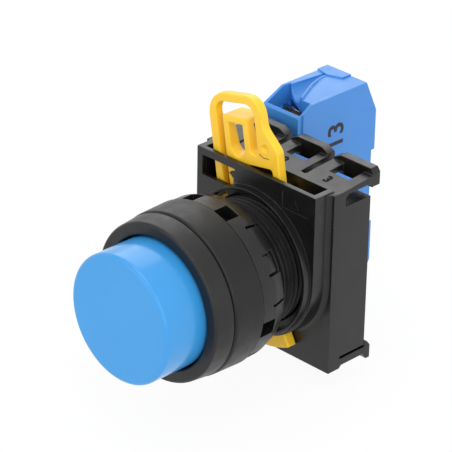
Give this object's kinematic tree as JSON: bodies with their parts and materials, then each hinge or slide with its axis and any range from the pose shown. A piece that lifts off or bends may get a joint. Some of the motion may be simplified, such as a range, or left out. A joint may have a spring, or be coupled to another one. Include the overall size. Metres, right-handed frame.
{
  "type": "industrial push button",
  "caption": "Panel push button: extended round button in a bezel on a threaded barrel, locking ring, clip-on adaptor with turning lock lever, screw-terminal contact block.",
  "frame": {"origin": "on the barrel axis, in the plane where the back of the flange meets the panel's front face", "axes": "+Y along the barrel, through the panel to the back; the button faces -Y; +Z towards the side marked as the top; +X to the right seen from the front"},
  "size_m": [0.0294, 0.0653, 0.0489],
  "materials": {
    "button_plastic": "satin moulded bright blue",
    "inner_plastic": "natural white moulding",
    "bezel_plastic": "satin black moulding",
    "ring_plastic": "matt black moulding",
    "adaptor_plastic": "matt black moulding",
    "lever_plastic": "satin yellow moulding",
    "block_plastic": "satin mid blue moulding",
    "seal_rubber": "black rubber",
    "spring_steel": "bright spring wire",
    "screw_steel": "zinc plated",
    "contact_brass": "stamped brass",
    "contact_silver": "silver contact tips"
  },
  "bodies": {
    "housing": {"operator_body": "bezel_plastic", "bezel_ring": "bezel_plastic", "lip_seal": "seal_rubber", "panel_gasket": "seal_rubber", "locking_ring": "ring_plastic", "return_spring": "spring_steel", "mounting_adaptor": "adaptor_plastic", "contact_housing_left": "block_plastic", "contact_housing_right": "block_plastic", "carriage_spring": "spring_steel", "terminal_upper": "contact_brass", "terminal_lower": "contact_brass", "fixed_contacts": "contact_silver", "terminal_screws": "screw_steel", "wire_clamps": "screw_steel"},
    "button": {"button_cap": "button_plastic", "button_plunger": "inner_plastic", "pusher_disc": "inner_plastic"},
    "carriage": {"contact_carriage": "inner_plastic", "bridge_spring": "spring_steel"},
    "bridge": {"contact_bridge": "contact_brass", "moving_contacts": "contact_silver"},
    "lever": {"locking_lever": "lever_plastic"}
  },
  "joints": [
    {"name": "button_press", "type": "slide", "parent": "housing", "child": "button", "axis": [0, 1, 0], "range_m": [0, 0.0045], "stiffness_N_per_m": 600, "springref_m": -0.002, "deforming": ["return_spring"]},
    {"name": "carriage_slide", "type": "slide", "parent": "housing", "child": "carriage", "axis": [0, 1, 0], "range_m": [0, 0.0045], "stiffness_N_per_m": 250, "springref_m": -0.001, "deforming": ["carriage_spring"]},
    {"name": "bridge_slide", "type": "slide", "parent": "housing", "child": "bridge", "axis": [0, 1, 0], "range_m": [0, 0.00225], "deforming": ["bridge_spring"]},
    {"name": "lever_turn", "type": "hinge", "parent": "housing", "child": "lever", "pos_m": [0, 0.0143, 0], "axis": [0, 1, 0], "range_deg": [0, 20]}
  ],
  "couplings": [
    {"joint": "carriage_slide", "follows": "button_press", "ratio": 1},
    {"joint": "bridge_slide", "follows": "button_press", "ratio": 0.5}
  ]
}
